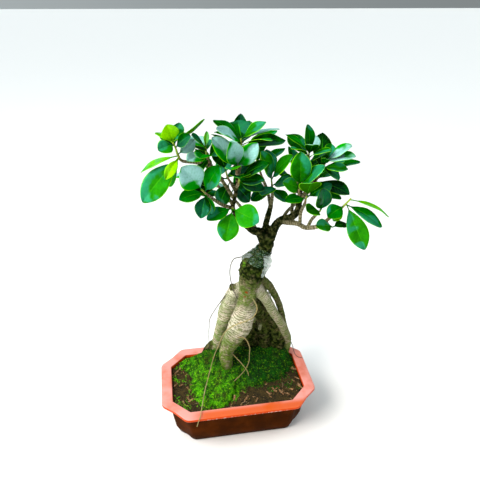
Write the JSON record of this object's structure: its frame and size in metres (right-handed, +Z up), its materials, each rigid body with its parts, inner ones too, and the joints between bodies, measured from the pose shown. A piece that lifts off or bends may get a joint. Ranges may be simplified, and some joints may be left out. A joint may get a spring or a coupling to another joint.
{
  "type": "ficus ginseng bonsai",
  "caption": "Small ginseng fig bonsai with swollen roots, branched crown and glossy leaves, in a low rectangular pot with cut corners, soil and moss.",
  "frame": {"origin": "centre of the pot's underside, on the surface that it stands on", "axes": "+Z up the trunk, X along the pot's long side, -Y towards the front, where the mossy slope and the long aerial root are"},
  "size_m": [0.2752, 0.1679, 0.403],
  "materials": {
    "terracotta_plastic": "satin moulded plastic, terracotta red",
    "soil": "damp dark potting soil with bark bits",
    "moss": "fine bright green moss",
    "bark": "pale grey-brown bark with fine cross wrinkles and green algae",
    "tape_film": "translucent crumpled film",
    "leaf": "glossy leathery green leaf"
  },
  "bodies": {
    "root": {"pot": "terracotta_plastic", "soil": "soil", "moss": "moss", "tree": "bark", "graft_tape": "tape_film", "shoot_left_tip": "leaf", "shoot_left_mid": "leaf", "shoot_left_low": "leaf", "shoot_left_fork": "leaf", "shoot_centre": "leaf", "shoot_centre_low": "leaf", "shoot_centre_back": "leaf", "shoot_top": "leaf", "shoot_middle": "leaf", "shoot_right_main": "leaf", "shoot_right_top": "leaf", "shoot_right_outer": "leaf", "shoot_right_inner": "leaf", "shoot_right_low": "leaf", "shoot_right_under": "leaf", "shoot_right_end": "leaf", "shoot_back_left": "leaf", "shoot_back_centre": "leaf", "shoot_back_middle": "leaf", "shoot_back_right": "leaf", "shoot_back_outer": "leaf", "shoot_back_low_left": "leaf", "shoot_back_low_right": "leaf"}
  },
  "joints": []
}
